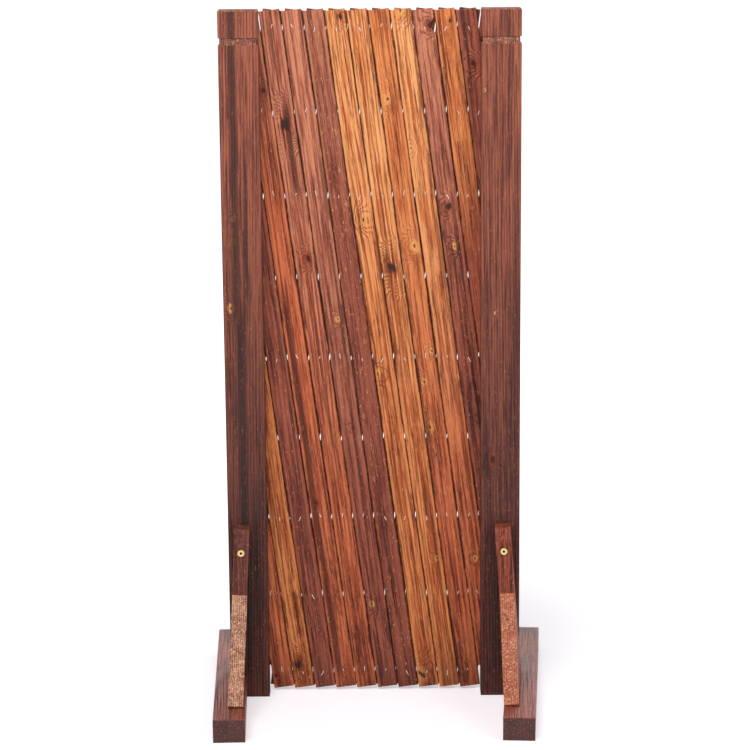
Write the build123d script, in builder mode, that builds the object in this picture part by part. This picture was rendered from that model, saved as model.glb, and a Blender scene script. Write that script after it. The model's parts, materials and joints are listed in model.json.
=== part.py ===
# Expanding wooden fence panel, shown closed: a trellis of slats between two posts on feet.
# Frame: x runs along the fence, y away from the viewer, z up, origin on the ground at the middle.
# All sizes are in millimetres.
import os
from math import asin, cos, radians, sin, tan

from build123d import *

os.makedirs("parts", exist_ok=True)

# Slats and the grid of ties that joins them
slat_width = 33.6
slat_thickness = 9
closed_gap = 2.7  # between neighbouring slats with the fence closed
tie_step = 142.8  # from one tie row to the next, along a slat
tie_rows = 8  # steps from the top row of ties to the bottom row
slat_columns = 11  # steps from the left post's column of ties to the right post's
slat_overhang = 29  # slat left beyond its last tie
ground_gap = 4.2  # under the lowest slat corners
layer_gap = 0.3  # between the front and the back layer of slats
foot_gap = 3  # between a foot's top and the slat that ends above it

# Wire ties
wire_diameter = 2
wire_sides = 6  # of the wire's section, kept few because there are many ties
tie_tail = 11  # of the clinched wire, from its pin to its tip
wire_gap = 0.05  # around the corners of the wire in its holes

# Posts
post_width = 67
post_thickness = 30
post_cover = 15.8  # from a post's inner edge to the column of ties behind it
post_rise = 1.3  # of the posts above the slats' top corners
post_chamfer = 2
lattice_gap = 3  # between a post's back and the front slats
groove_drop = 46
groove_height = 12
groove_depth = 2.5

# Feet. Each stands turned by some degrees on its post, its back end outwards.
foot_length = 474
foot_width = 54
foot_height = 41
foot_chamfer = 1.5
left_foot_turn = 2.1
right_foot_turn = 4.1
left_foot_out = 27.5  # of the foot's outer side beyond the post's, level with the post's middle
right_foot_out = 33
notch_gap = 0.05  # between a foot and the post's leg beside it

# Braces, in line with their feet. The lean, in degrees, brings the top towards the fence.
brace_thickness = 26
brace_height = 274
brace_head = 40  # depth of the brace above its slope
brace_head_height = 115
brace_reach = 170
brace_toe = 4  # upright edge at the foot of the slope
brace_bevel_height = 25
brace_bevel_depth = 12
left_brace_lean = 2.8
right_brace_lean = 4.2
left_brace_inset = 3.2  # from the foot's inner side to the brace
right_brace_inset = 0.4

# Furniture screws of the braces
bolt_drop = 39
bolt_head = 12
bolt_head_height = 2.4
bolt_diameter = 6
bolt_socket = 4
bolt_socket_depth = 1.6
bolt_bite = 21  # of the bolt in the post

# Screws that hold a post and a brace to their foot, and the pivot screws of the fence
screw_diameter = 4.5
screw_head = 9
post_screw_length = 72
brace_screw_length = 85
brace_screw_reach = 60  # in front of the post
pivot_diameter = 5
pivot_head = 10
pivot_head_height = 2.8
pivot_bite = 19  # of the pivot screw in the post
tip_gap = 1  # between the tip of a bolt or pivot screw and the end of its hole
packer_width = 24
pivot_gap = 0.05
screw_gap = 0.05
turn_gap = 0.3  # between faces that turn on each other

# Worked out from the sizes above
lean = asin((slat_width + closed_gap) / tie_step) / 2
column_step = 2 * tie_step * sin(lean)
row_step = tie_step * cos(lean)
half_span = slat_columns * column_step / 2
bottom_row = ground_gap + slat_overhang * cos(lean) + slat_width / 2 * sin(lean)
top_row = bottom_row + tie_rows * row_step
pivot_row = tie_rows // 2
pivot_height = top_row - pivot_row * row_step
post_height = top_row + slat_overhang * cos(lean) + slat_width / 2 * sin(lean) + post_rise
post_inner = half_span - post_cover
post_outer = post_inner + post_width
post_front = -post_thickness / 2
post_back = post_thickness / 2
front_layer = post_back + lattice_gap
back_layer = front_layer + slat_thickness + layer_gap
lattice_back = back_layer + slat_thickness


def foot_centre(foot_out, foot_turn):
    # From the middle of the fence to the foot's centre line, level with the post's middle.
    return post_outer + foot_out - foot_width / 2 / cos(radians(foot_turn))


def foot_reach(foot_out, foot_turn):
    turn = radians(foot_turn)
    return foot_centre(foot_out, foot_turn) + foot_width / 2 * cos(turn) + foot_length / 2 * sin(turn)


# The origin lies midway between the outermost corners of the two feet.
middle = (foot_reach(right_foot_out, right_foot_turn) - foot_reach(left_foot_out, left_foot_turn)) / 2
stands = {
    "left": (-1, left_foot_out, left_foot_turn, left_brace_inset, left_brace_lean),
    "right": (1, right_foot_out, right_foot_turn, right_brace_inset, right_brace_lean),
}


def column_x(column):
    return column * column_step - half_span - middle


def row_z(row):
    return top_row - row * row_step


# A front slat passes the column of its number at the top row and half a column more at each
# row below. A back slat leans the other way. The outer slats are cut short at the posts.
def first_row(number, lean_side):
    beyond = -number if lean_side > 0 else number - slat_columns
    return max(0, 2 * beyond)


def last_row(number, lean_side):
    room = slat_columns - number if lean_side > 0 else number
    return min(tie_rows, 2 * room)


half_rows = tie_rows // 2
front_numbers = range(1 - half_rows, slat_columns)
back_numbers = range(1, slat_columns + half_rows)


def spans(number, lean_side, row):
    numbers = front_numbers if lean_side > 0 else back_numbers
    in_rows = first_row(number, lean_side) <= row <= last_row(number, lean_side)
    return number in numbers and in_rows


# Ties sit at each crossing of the even rows, and at four crossings of two odd rows, which join
# the slats of even number to those of odd number. The post screws take two crossings.
link_columns = [0.5, 2.5, slat_columns - 1.5, slat_columns - 0.5]
link_rows = [1, tie_rows - 1]
tie_spots = [
    (column, row)
    for row in range(0, tie_rows + 1, 2)
    for column in range(0, slat_columns + 1)
    if spans(column - row // 2, 1, row) and spans(column + row // 2, -1, row)
    and not (row == pivot_row and column in (0, slat_columns))
]
tie_spots += [(column, row) for row in link_rows for column in link_columns]


def slat_spots(number, lean_side):
    # Tie and pivot crossings on one slat, as rows.
    spots = [row for column, row in tie_spots if column == number + lean_side * row / 2]
    if number + lean_side * pivot_row / 2 in (0, slat_columns):
        spots.append(pivot_row)
    return sorted(spots)


def build_slat(number, lean_side, label):
    top = first_row(number, lean_side)
    bottom = last_row(number, lean_side)
    upper_end = slat_overhang
    lower_end = slat_overhang
    over_foot = bottom == tie_rows and number + lean_side * tie_rows / 2 in (0, slat_columns)
    if over_foot:
        corner = foot_height + foot_gap + slat_width / 2 * sin(lean)
        lower_end = (row_z(tie_rows) - corner) / cos(lean)
    length = (bottom - top) * tie_step + upper_end + lower_end
    along = Vector(lean_side * sin(lean), 0, -cos(lean))
    top_spot = Vector(column_x(number + lean_side * top / 2), 0, row_z(top))
    centre = top_spot + along * (length / 2 - upper_end)
    face = front_layer if lean_side > 0 else back_layer
    plane = Plane(origin=(centre.X, face, centre.Z), x_dir=along, z_dir=(0, 1, 0))
    with BuildPart() as slat:
        with BuildSketch(plane):
            Rectangle(length, slat_width)
            for row in slat_spots(number, lean_side):
                on_pivot = row == pivot_row and number + lean_side * row / 2 in (0, slat_columns)
                with Locations((upper_end + (row - top) * tie_step - length / 2, 0)):
                    if on_pivot:
                        Circle(pivot_diameter / 2 + pivot_gap, mode=Mode.SUBTRACT)
                    else:
                        wire_hole = wire_diameter / 2 + wire_gap
                        RegularPolygon(wire_hole, wire_sides, major_radius=False, mode=Mode.SUBTRACT)
        extrude(amount=slat_thickness)
    slat.part.label = label
    export_step(slat.part, f"parts/{label}.step")


for order, number in enumerate(front_numbers, start=1):
    build_slat(number, 1, f"front_slat_{order:02d}")
for order, number in enumerate(back_numbers, start=1):
    build_slat(number, -1, f"back_slat_{order:02d}")

# One wire tie about its own axis: a pin through both slats, its ends clinched flat.
tie_front = front_layer - wire_diameter / 2
tie_back = lattice_back + turn_gap + wire_diameter / 2
with BuildPart() as tie:
    with BuildLine() as tie_wire:
        Polyline((tie_tail, tie_front, 0), (0, tie_front, 0), (0, tie_back, 0), (-tie_tail, tie_back, 0))
    with BuildSketch(Plane(origin=tie_wire.line @ 0, z_dir=tie_wire.line % 0)):
        RegularPolygon(wire_diameter / 2, wire_sides)
    sweep(path=tie_wire.line, transition=Transition.RIGHT)


def tie_turn(column, row):
    # Each wire was bent over by hand, up or down along the slat, so no two tails lie alike.
    upwards = sin(5.1 * column + 3.7 * row) > 0
    return (90 if upwards else -90) + 28 * sin(2.3 * column + 1.7 * row)


# The ties of one front slat stay with it, so they are one node.
for order, number in enumerate(front_numbers, start=1):
    label = f"ties_{order:02d}"
    own = [(column, row) for column, row in tie_spots if column == number + row / 2]
    with BuildPart() as ties:
        with Locations(*[
            Location((column_x(column), 0, row_z(row)), (0, tie_turn(column, row), 0))
            for column, row in own
        ]):
            add(tie.part)
    ties.part.label = label
    export_step(ties.part, f"parts/{label}.step")


# Outlines of half a screw: radius across, height up, the head's top at zero.
def sunk_outline(length, gap=0):
    head = screw_head / 2 + gap
    shank = screw_diameter / 2 + gap
    return [(0, 0), (head, 0), (shank, shank - head), (shank, -length - gap), (0, -length - gap)]


def raised_outline(head, head_height, shank, length):
    # The length is that of the shank, below the head.
    return [(0, 0), (head, 0), (head, -head_height), (shank, -head_height),
            (shank, -head_height - length), (0, -head_height - length)]


for name, (side, foot_out, foot_turn, brace_inset, brace_lean) in stands.items():
    turn = radians(foot_turn)
    tilt = radians(brace_lean)
    post_x = side * (post_inner + post_outer) / 2 - middle
    foot_x = side * foot_centre(foot_out, foot_turn) - middle
    pivot_x = side * half_span - middle
    forward = Vector(-side * sin(turn), -cos(turn), 0)
    outward = Vector(side * cos(turn), -sin(turn), 0)

    # The brace's middle plane: x to the front, y up the brace, from where it meets foot and post
    brace_offset = brace_inset + brace_thickness / 2 / cos(tilt) - foot_width / 2
    brace_line = Vector(foot_x, 0, foot_height) + outward * brace_offset
    brace_start = brace_line + forward * ((brace_line.Y - post_front) / cos(turn))
    normal = outward * cos(tilt) + Vector(0, 0, sin(tilt))
    brace_plane = Plane(origin=brace_start, x_dir=forward, z_dir=normal * -side)

    # Places of the screws, each with its local y along the way out of its hole
    leg_side = (side * post_inner - middle, 0, foot_height / 2)
    post_screw_place = Plane(origin=leg_side, x_dir=(0, 1, 0), z_dir=(0, 0, side))
    sole_spot = brace_start + forward * brace_screw_reach
    brace_screw_place = Plane(origin=(sole_spot.X, sole_spot.Y, 0), x_dir=(0, 1, 0), z_dir=(-1, 0, 0))
    bolt_seat = brace_plane.from_local_coords((brace_head, brace_height - bolt_drop, 0))
    bolt_top = bolt_seat + forward * bolt_head_height
    bolt_place = Plane(origin=bolt_top, x_dir=(cos(turn), -side * sin(turn), 0), z_dir=(0, 0, -1))
    pivot_face = lattice_back + turn_gap
    pivot_top = (pivot_x, pivot_face + pivot_head_height, pivot_height)
    pivot_place = Plane(origin=pivot_top, x_dir=(1, 0, 0), z_dir=(0, 0, 1))

    # Post: a board with a sawn groove round its top, its outer half cut away over the foot
    with BuildPart() as post:
        with BuildSketch():
            with Locations((post_x, 0)):
                Rectangle(post_width, post_thickness)
        extrude(amount=post_height)
        chamfer(post.faces().sort_by(Axis.Z)[-1].edges(), post_chamfer)
        with BuildSketch(Plane.XY.offset(post_height - groove_drop - groove_height)):
            with Locations((post_x, 0)):
                Rectangle(post_width + 1, post_thickness + 1)
                core_width = post_width - 2 * groove_depth
                core_thickness = post_thickness - 2 * groove_depth
                Rectangle(core_width, core_thickness, mode=Mode.SUBTRACT)
        extrude(amount=groove_height, mode=Mode.SUBTRACT)
        foot_inner = foot_centre(foot_out, foot_turn) - foot_width / 2 / cos(turn)
        leg_outer = foot_inner - post_thickness / 2 * tan(turn) - notch_gap
        with BuildSketch():
            with Locations((side * (leg_outer + post_outer) / 2 - middle, 0)):
                Rectangle(post_outer - leg_outer, post_thickness)
        extrude(amount=foot_height, mode=Mode.SUBTRACT)
        with BuildSketch(post_screw_place):
            with BuildLine():
                Polyline(*sunk_outline(post_screw_length, screw_gap), close=True)
            make_face()
        revolve(axis=Axis(post_screw_place.origin, post_screw_place.y_dir), mode=Mode.SUBTRACT)
        with BuildSketch(Plane(origin=bolt_seat, z_dir=-forward)):
            Circle(bolt_diameter / 2 + screw_gap)
        extrude(amount=brace_head + bolt_bite + tip_gap, mode=Mode.SUBTRACT)
        with BuildSketch(Plane(origin=(pivot_x, post_back, pivot_height), z_dir=(0, -1, 0))):
            Circle(pivot_diameter / 2 + screw_gap)
        extrude(amount=pivot_bite + tip_gap, mode=Mode.SUBTRACT)
    post.part.label = f"{name}_post"
    export_step(post.part, f"parts/{name}_post.step")

    # Foot: a bar from front to back, drilled for the screws of its post and its brace
    with BuildPart() as foot:
        with BuildSketch():
            with Locations((foot_x, 0)):
                Rectangle(foot_width, foot_length, rotation=-side * foot_turn)
        extrude(amount=foot_height)
        chamfer(foot.faces().sort_by(Axis.Z)[-1].edges(), foot_chamfer)
        with BuildSketch(post_screw_place):
            with BuildLine():
                Polyline(*sunk_outline(post_screw_length, screw_gap), close=True)
            make_face()
        revolve(axis=Axis(post_screw_place.origin, post_screw_place.y_dir), mode=Mode.SUBTRACT)
        with BuildSketch(brace_screw_place):
            with BuildLine():
                Polyline(*sunk_outline(brace_screw_length, screw_gap), close=True)
            make_face()
        revolve(axis=Axis(brace_screw_place.origin, brace_screw_place.y_dir), mode=Mode.SUBTRACT)
    foot.part.label = f"{name}_foot"
    export_step(foot.part, f"parts/{name}_foot.step")

    # Brace: a sawn plate on edge, leaning a little, cut to sit flat on the foot and the post
    slope_top = brace_height - brace_head_height
    bevel_start = brace_head - brace_bevel_depth
    with BuildPart() as brace:
        with BuildSketch(brace_plane):
            with BuildLine():
                Polyline(
                    (-brace_thickness, -brace_thickness), (-brace_thickness, brace_height),
                    (bevel_start, brace_height), (brace_head, brace_height - brace_bevel_height),
                    (brace_head, slope_top), (brace_reach, brace_toe), (brace_reach, -brace_thickness),
                    close=True
                )
            make_face()
        extrude(amount=brace_thickness / 2, both=True)
        split(bisect_by=Plane.XY.offset(foot_height), keep=Keep.TOP)
        split(bisect_by=Plane(origin=(0, post_front, 0), z_dir=(0, -1, 0)), keep=Keep.TOP)
        with BuildSketch(Plane(origin=bolt_seat, z_dir=-forward)):
            Circle(bolt_diameter / 2 + screw_gap)
        extrude(amount=brace_head + brace_thickness, mode=Mode.SUBTRACT)
        with BuildSketch(brace_screw_place):
            with BuildLine():
                Polyline(*sunk_outline(brace_screw_length, screw_gap), close=True)
            make_face()
        revolve(axis=Axis(brace_screw_place.origin, brace_screw_place.y_dir), mode=Mode.SUBTRACT)
    brace.part.label = f"{name}_brace"
    export_step(brace.part, f"parts/{name}_brace.step")

    # Furniture screw through the brace into the post, a flat head with a six-sided socket
    bolt_length = brace_head + bolt_bite
    bolt_outline = raised_outline(bolt_head / 2, bolt_head_height, bolt_diameter / 2, bolt_length)
    with BuildPart() as bolt:
        with BuildSketch(bolt_place):
            with BuildLine():
                Polyline(*bolt_outline, close=True)
            make_face()
        revolve(axis=Axis(bolt_place.origin, bolt_place.y_dir))
        with BuildSketch(Plane(origin=bolt_place.origin, z_dir=-forward)):
            RegularPolygon(bolt_socket / 2, 6, major_radius=False)
        extrude(amount=bolt_socket_depth, mode=Mode.SUBTRACT)
    bolt.part.label = f"{name}_brace_bolt"
    export_step(bolt.part, f"parts/{name}_brace_bolt.step")

    # Sunk wood screws: through the post's leg into the foot, and up through the foot into the brace
    with BuildPart() as post_screw:
        with BuildSketch(post_screw_place):
            with BuildLine():
                Polyline(*sunk_outline(post_screw_length), close=True)
            make_face()
        revolve(axis=Axis(post_screw_place.origin, post_screw_place.y_dir))
    post_screw.part.label = f"{name}_post_screw"
    export_step(post_screw.part, f"parts/{name}_post_screw.step")

    with BuildPart() as brace_screw:
        with BuildSketch(brace_screw_place):
            with BuildLine():
                Polyline(*sunk_outline(brace_screw_length), close=True)
            make_face()
        revolve(axis=Axis(brace_screw_place.origin, brace_screw_place.y_dir))
    brace_screw.part.label = f"{name}_brace_screw"
    export_step(brace_screw.part, f"parts/{name}_brace_screw.step")

    # Pivot of the lattice: a screw from behind, with a thin packer that holds the slats off the post
    pivot_length = pivot_face - post_back + pivot_bite
    pivot_outline = raised_outline(pivot_head / 2, pivot_head_height, pivot_diameter / 2, pivot_length)
    with BuildPart() as pivot_screw:
        with BuildSketch(pivot_place):
            with BuildLine():
                Polyline(*pivot_outline, close=True)
            make_face()
        revolve(axis=Axis(pivot_place.origin, pivot_place.y_dir))
    pivot_screw.part.label = f"{name}_pivot_screw"
    export_step(pivot_screw.part, f"parts/{name}_pivot_screw.step")

    with BuildPart() as packer:
        with BuildSketch(Plane(origin=(pivot_x, post_back, pivot_height), z_dir=(0, 1, 0))):
            Rectangle(packer_width, packer_width)
            Circle(pivot_diameter / 2 + screw_gap, mode=Mode.SUBTRACT)
        extrude(amount=lattice_gap - turn_gap)
    packer.part.label = f"{name}_pivot_packer"
    export_step(packer.part, f"parts/{name}_pivot_packer.step")
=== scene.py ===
import json
import math

import bpy
import bmesh
from mathutils import Matrix, Vector

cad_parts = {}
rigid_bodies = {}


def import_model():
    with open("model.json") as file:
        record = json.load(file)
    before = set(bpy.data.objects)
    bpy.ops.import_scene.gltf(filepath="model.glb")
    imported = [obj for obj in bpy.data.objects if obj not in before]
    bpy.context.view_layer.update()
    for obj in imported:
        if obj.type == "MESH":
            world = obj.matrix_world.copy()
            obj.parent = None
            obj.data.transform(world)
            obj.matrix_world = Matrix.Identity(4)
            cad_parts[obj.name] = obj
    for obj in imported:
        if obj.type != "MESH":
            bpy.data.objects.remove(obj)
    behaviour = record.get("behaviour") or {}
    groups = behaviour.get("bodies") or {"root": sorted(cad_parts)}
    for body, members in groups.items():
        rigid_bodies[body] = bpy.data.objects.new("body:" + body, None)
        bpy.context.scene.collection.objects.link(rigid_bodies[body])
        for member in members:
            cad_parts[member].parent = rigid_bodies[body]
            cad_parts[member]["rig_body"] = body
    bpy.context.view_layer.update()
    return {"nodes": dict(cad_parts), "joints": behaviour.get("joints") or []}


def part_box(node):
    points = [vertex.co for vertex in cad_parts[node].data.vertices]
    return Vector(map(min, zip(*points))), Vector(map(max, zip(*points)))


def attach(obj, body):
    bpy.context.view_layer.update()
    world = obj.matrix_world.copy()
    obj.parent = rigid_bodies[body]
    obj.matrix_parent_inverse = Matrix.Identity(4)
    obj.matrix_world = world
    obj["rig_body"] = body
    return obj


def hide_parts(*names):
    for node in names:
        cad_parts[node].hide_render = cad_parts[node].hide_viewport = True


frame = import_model()
mm = 0.001
print("frame loaded:", len(frame["nodes"]), "nodes")


# One hex colour as the eye sees it, turned to the linear value that a shader needs.
def linear(hexColour):
    channels = [int(hexColour[i:i + 2], 16) / 255 for i in (0, 2, 4)]
    return tuple(c / 12.92 if c <= 0.04045 else ((c + 0.055) / 1.055) ** 2.4 for c in channels) + (1.0,)


# Adds a node to a tree with its settings. An input is given either a value or a socket to link.
def addNode(tree, kind, inputs=None, **settings):
    node = tree.nodes.new(kind)
    for name, value in settings.items():
        setattr(node, name, value)
    for key, value in (inputs or {}).items():
        if isinstance(value, bpy.types.NodeSocket):
            tree.links.new(value, node.inputs[key])
        else:
            node.inputs[key].default_value = value
    return node


def newMaterial(name):
    material = bpy.data.materials.new(name)
    material.use_nodes = True
    tree = material.node_tree
    tree.nodes.clear()
    shader = addNode(tree, "ShaderNodeBsdfPrincipled")
    addNode(tree, "ShaderNodeOutputMaterial", {"Surface": shader.outputs[0]})
    return material, tree, shader


# Where a slat lies: its middle, its lean from upright, its length, width and thickness.
def slatPlace(node):
    points = [v.co for v in frame["nodes"][node].data.vertices]
    low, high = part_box(node)
    lowest = min(points, key=lambda p: p.z)
    highest = max(points, key=lambda p: p.z)
    leftmost = min(points, key=lambda p: p.x)
    sides = [math.hypot(leftmost.x - p.x, leftmost.z - p.z) for p in (lowest, highest)]
    far = lowest if sides[0] > sides[1] else highest
    lean = math.atan((far.x - leftmost.x) / (far.z - leftmost.z))
    return {"middle": (low + high) / 2, "turn": (0, lean, 0), "length": max(sides), "width": min(sides),
            "thickness": high.y - low.y}


# Where a post, brace or foot lies: its middle, the way its grain runs, its width.
def boardPlace(node):
    low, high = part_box(node)
    size = high - low
    turn = (0, 0, 0)
    if size.y > size.z:  # a foot lies from front to back, a little askew
        points = [v.co for v in frame["nodes"][node].data.vertices]
        reach = 10 * mm  # how far from each end its corners are looked for
        front = [p.x for p in points if p.y < low.y + reach]
        back = [p.x for p in points if p.y > high.y - reach]
        turn = (math.radians(90), 0, math.asin((sum(front) / len(front) - sum(back) / len(back)) / size.y))
    return {"middle": (low + high) / 2, "turn": turn, "length": max(size), "width": size.x}


# Carbonised fir: scorched with a flame and brushed, so the soft early wood is orange to brown and
# the hard late wood stands up in darker lines. The eye sees streaks along the board, darker patches
# where the flame stayed, charred edges that also carry painted shade from the gaps beside them,
# lines just inside the edges that brushing rubbed and that carry a painted highlight, small bright
# flecks that are painted glints, and round knots that the grain bends around. The board is also
# made darker towards the bottom.
woodTones = {
    "honey": {"pale": "ffb070", "deep": "cc6a34", "burnt": "5c2415"},
    "amber": {"pale": "f09456", "deep": "b4552a", "burnt": "541f10"},
    "copper": {"pale": "dc764a", "deep": "9e4428", "burnt": "4a1a12"},
    "russet": {"pale": "b35b40", "deep": "7f3526", "burnt": "3e1812"},
    "umber": {"pale": "aa5a43", "deep": "763428", "burnt": "381611"},
    "plum": {"pale": "85463a", "deep": "592a23", "burnt": "2b130f"},
    "rose": {"pale": "d98a68", "deep": "a0503a", "burnt": "4c2017"},
    "dusk": {"pale": "ae6249", "deep": "7f4233", "burnt": "44231d"},
    "soot": {"pale": "6b362b", "deep": "47231c", "burnt": "22110f"},
}
firDefaults = {
    "ringWidth": 4.2, "rings": 0.75, "pithAcross": 40, "pithDepth": 60,  # growth rings, in mm
    "wander": 6, "wave": 2.2,  # of the grain: mm sideways, bends in a metre
    # Edges: charred, and painted shade from the gaps beside them.
    # Specks: relief, and bright flecks painted as glints.
    # The board grows darker towards the bottom with darkEnd.
    "streaks": 0.75, "scorch": 0.85, "scorchAt": 1.1, "darkEnd": 0.16, "edge": 0.85, "specksAndGlints": 0.5,
    "turnsFrom": 450, "turnsTo": -350,  # heights between which the first tone turns to the lower one, in mm
    "bottomEndDark": 0.5,  # how dark the bottom end is made
    "wearAndHighlight": 0.8,  # of the bright lines just inside the edges: wood that brushing rubbed, with a painted highlight
    "gloss": 0.4, "shine": 0.3, "bands": [], "knots": [],
}
# The fleck tone is a painted highlight: small bright glints on the fibres.
knotTones = {"paintedGlint": "f0a061", "dark": "2c110b", "halo": "8a3318", "pale": "f0a85c"}


# Each spot of a knot: its reach in times the knot's radius, its softness and its strength.
knotSpots = {
    "dark": {"dark": (1.0, 0.7, 0.95), "halo": (2.2, 0.7, 0.9)},
    "pale": {"dark": (0.45, 0.6, 0.9), "pale": (1.4, 0.5, 0.9)},
}
# How the rings run: ripple in mm, taper of the tree, how far a knot pushes and squeezes them.
ringShape = {"ripple": 1.5, "taper": 0.014, "knotReach": 4, "knotPush": 3.2, "knotSquash": 0.75,
             "knotShake": 1.6}
# A year's growth, as far through the year and how dark: slow darkening, a dark line, a sharp end.
ringProfile = ((0.0, 0.05), (0.42, 0.08), (0.68, 0.5), (0.84, 1.0), (0.94, 0.9), (1.0, 0.1))
# Noises stretched along a board: cells in a metre across and along it, shift, detail, roughness.
grainNoises = {
    "ripple": (90, 18, 11, 2, 0.6),
    "fibre": (310, 8, 3, 4, 0.75),  # coarser than real fibres, so that it shows
    "streak": (160, 2.8, 5, 3, 0.6),
    "patch": (30, 4.5, 17, 5, 0.7),
    "blotch": (150, 60, 23, 4, 0.7),
    "speck": (330, 110, 29, 4, 0.75),
    "cloud": (45, 7, 37, 5, 0.7),
}
# How the dark marks lie: how softly the charred patches begin, then in mm how the darkening reaches
# in from the bottom end, how the char wavers in the bands (full over a share of their width) and
# takes the edges, which also carry painted shade from the gaps, with the lines inside them that
# brushing rubbed and that carry a painted highlight.
charShape = {"softBelow": 0.1, "softAbove": 0.14, "endStarts": 150, "endFull": 50, "endWaver": 120,
             "bandSway": 14, "bandWaver": 6, "bandFull": 0.3, "bandFade": 60, "edgeWaver": 3,
             "edgeStarts": 0.6, "edgeFull": 2.0, "wearAndHighlightStarts": 4, "wearAndHighlightFull": 1.5}
reliefShape = {"fibre": 0.8, "late": 0.45, "speck": 1.6, "depth": 2.2}  # shares of each, and mm in all


# All noises of one board. Its seed and their shifts move each to another stretch of the noise.
def grainOf(tree, local, look):
    noises = {}
    for name, (across, along, shift, detail, rough) in {
            "broad": (8, look["wave"], 0, 1.5, 0.6), **grainNoises}.items():
        spread = addNode(tree, "ShaderNodeMapping", {
            "Vector": local, "Scale": (across, across, along),
            "Location": (look["seed"] * 7.3 + shift, look["seed"] * 3.1, look["seed"] * 5.7)})
        noises[name] = addNode(tree, "ShaderNodeTexNoise", {
            "Vector": spread.outputs[0], "Scale": 1.0, "Detail": detail, "Roughness": rough}).outputs
    return noises


# Growth rings round a pith beside or behind the board, wandering as a tree does and swelling round
# each knot. Gives the late wood's lines, and where the spots of the knots lie.
def ringsAndKnots(tree, local, along, sway, jitter, look):
    bent = local
    for shake, reach in ((sway, 2 * look["wander"] * mm), (jitter, ringShape["ripple"] * mm)):
        bent = addNode(tree, "ShaderNodeVectorMath", {0: shake, 1: (reach, reach, 0), 2: bent},
                       operation="MULTIPLY_ADD").outputs[0]
    fromPith = addNode(tree, "ShaderNodeVectorMath", {
        0: bent, 1: (look["pithAcross"] * mm, look["pithDepth"] * mm, 0)}, operation="SUBTRACT").outputs[0]
    flat = addNode(tree, "ShaderNodeVectorMath", {0: fromPith, 1: (1, 1, 0)}, operation="MULTIPLY").outputs[0]
    radius = addNode(tree, "ShaderNodeVectorMath", {0: flat}, operation="LENGTH").outputs["Value"]
    radius = addNode(tree, "ShaderNodeMath", {0: along, 1: ringShape["taper"], 2: radius},
                     operation="MULTIPLY_ADD").outputs[0]
    spots = {}
    for knotAlong, knotAcross, knotRadius, kind in look["knots"]:
        size = knotRadius * mm
        offset = addNode(tree, "ShaderNodeVectorMath", {
            0: local, 1: (knotAcross * mm, 0, knotAlong * mm)}, operation="SUBTRACT").outputs[0]
        squeezed = addNode(tree, "ShaderNodeVectorMath", {0: offset, 1: (1, 0, ringShape["knotSquash"])},
                           operation="MULTIPLY").outputs[0]
        shake = ringShape["knotShake"] * size
        shaky = addNode(tree, "ShaderNodeVectorMath", {0: jitter, 1: (shake, 0, shake), 2: squeezed},
                        operation="MULTIPLY_ADD").outputs[0]
        away = addNode(tree, "ShaderNodeVectorMath", {0: shaky}, operation="LENGTH").outputs["Value"]
        swell = addNode(tree, "ShaderNodeMapRange", {
            "Value": away, "From Min": 0.0, "From Max": ringShape["knotReach"] * size,
            "To Min": 1.0, "To Max": 0.0}, interpolation_type="SMOOTHERSTEP").outputs[0]
        radius = addNode(tree, "ShaderNodeMath", {0: swell, 1: ringShape["knotPush"] * size, 2: radius},
                         operation="MULTIPLY_ADD").outputs[0]
        for key, (reach, soft, strength) in knotSpots[kind].items():
            mask = addNode(tree, "ShaderNodeMapRange", {
                "Value": away, "From Min": (1 - soft) * reach * size, "From Max": reach * size,
                "To Min": strength, "To Max": 0.0}, interpolation_type="SMOOTHSTEP").outputs[0]
            if key in spots:
                mask = addNode(tree, "ShaderNodeMath", {0: spots[key], 1: mask},
                               operation="MAXIMUM").outputs[0]
            spots[key] = mask
    phase = addNode(tree, "ShaderNodeMath", {0: radius, 1: look["ringWidth"] * mm}, operation="DIVIDE")
    ring = addNode(tree, "ShaderNodeMath", {0: phase.outputs[0]}, operation="FRACT")
    late = addNode(tree, "ShaderNodeFloatCurve", {"Value": ring.outputs[0]})
    points = late.mapping.curves[0].points
    points[0].location, *between, points[1].location = ringProfile
    for at, height in between:
        points.new(at, height)
    late.mapping.update()
    return late.outputs[0], spots
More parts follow.
